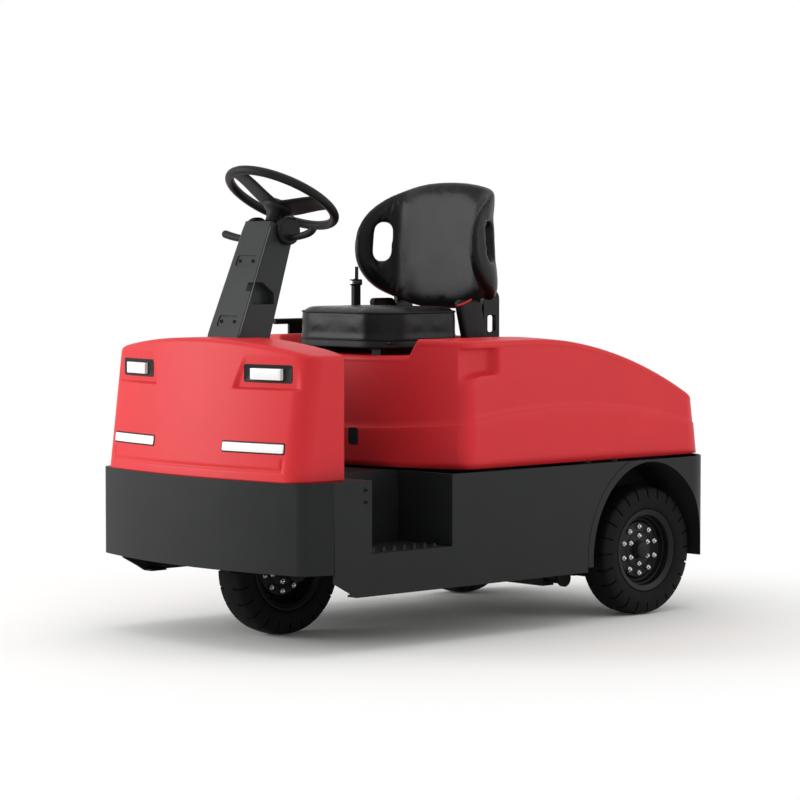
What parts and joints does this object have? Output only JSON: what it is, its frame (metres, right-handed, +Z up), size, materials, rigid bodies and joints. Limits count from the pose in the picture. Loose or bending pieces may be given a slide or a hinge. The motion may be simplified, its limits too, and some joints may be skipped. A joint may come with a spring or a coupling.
{
  "type": "three-wheel seated electric tow tractor",
  "caption": "Seated electric tow tractor for baggage carts: steered front wheel, driven rear axle, red cowl and lifting seat hood, dark plate skirts and a level tow hitch.",
  "frame": {"origin": "on the ground under the middle of the overall length and width", "axes": "+X to the vehicle's left, +Y to its rear, +Z up"},
  "size_m": [1, 1.8999, 1.4265],
  "materials": {
    "red_moulding": "glossy red moulded skin",
    "grey_plate": "satin dark grey powder coat",
    "black_plastic": "satin black moulded plastic",
    "battery_case": "matt black coated steel case",
    "black_steel": "satin black paint",
    "bright_steel": "turned steel",
    "casting": "black painted casting",
    "tyre_rubber": "black solid tyre rubber",
    "black_rubber": "black moulded rubber",
    "seat_vinyl": "black seat vinyl",
    "lamp_lens": "clear lamp lens over a white reflector",
    "tail_lens": "red lamp lens"
  },
  "bodies": {
    "chassis": {"front_bumper": "grey_plate", "side_plate_left": "grey_plate", "side_plate_right": "grey_plate", "floor_plate": "grey_plate", "step_well_left": "grey_plate", "step_well_right": "grey_plate", "battery_tray": "grey_plate", "battery_block": "battery_case", "rear_fender_left": "grey_plate", "rear_fender_right": "grey_plate", "rear_plate": "grey_plate", "rear_frame": "grey_plate", "spring_beam": "grey_plate", "leaf_springs": "black_steel", "rear_axle": "casting", "drive_motor": "casting", "tow_hitch": "casting", "front_cowl": "red_moulding", "headlamps": "lamp_lens", "marker_lamps": "lamp_lens", "dash_panel": "black_plastic", "steering_column": "black_plastic", "control_pod": "black_plastic", "control_stalks": "black_plastic", "pedals": "black_rubber", "hood_hinge": "black_steel", "hood_buffers": "black_rubber", "tail_lamps": "tail_lens", "turntable_carrier": "grey_plate"},
    "fork": {"steer_fork": "black_steel", "front_axle": "bright_steel"},
    "front_wheel": {"front_tyre": "tyre_rubber", "front_rim": "black_steel"},
    "rear_wheel_left": {"rear_tyre_left": "tyre_rubber", "rear_rim_left": "black_steel"},
    "rear_wheel_right": {"rear_tyre_right": "tyre_rubber", "rear_rim_right": "black_steel"},
    "steering_wheel": {"steering_wheel": "black_plastic"},
    "hood": {"hood": "red_moulding", "hood_leaf": "black_steel", "seat_rails": "black_steel", "seat_frame": "black_steel", "seat_cushion": "seat_vinyl", "seat_back": "seat_vinyl", "belt_buckle": "black_plastic", "parking_lever": "black_steel"}
  },
  "joints": [
    {"name": "fork_steer", "type": "hinge", "parent": "chassis", "child": "fork", "pos_m": [0, -0.571, 0.44], "axis": [0, 0, 1], "range_deg": [-75, 75]},
    {"name": "front_wheel_spin", "type": "hinge", "parent": "fork", "child": "front_wheel", "pos_m": [0, -0.571, 0.2075], "axis": [1, 0, 0], "continuous": true},
    {"name": "rear_wheel_left_spin", "type": "hinge", "parent": "chassis", "child": "rear_wheel_left", "pos_m": [0.402, 0.596, 0.2075], "axis": [1, 0, 0], "continuous": true},
    {"name": "rear_wheel_right_spin", "type": "hinge", "parent": "chassis", "child": "rear_wheel_right", "pos_m": [-0.402, 0.596, 0.2075], "axis": [1, 0, 0], "continuous": true},
    {"name": "steering_wheel_turn", "type": "hinge", "parent": "chassis", "child": "steering_wheel", "pos_m": [0, -0.555, 1.33], "axis": [0, 0.4833, 0.8755], "range_deg": [-450, 450]},
    {"name": "hood_lift", "type": "hinge", "parent": "chassis", "child": "hood", "pos_m": [0, 0.878, 0.52], "axis": [-1, 0, 0], "range_deg": [0, 45]}
  ],
  "couplings": [
    {"joint": "steering_wheel_turn", "follows": "fork_steer", "ratio": 6}
  ]
}
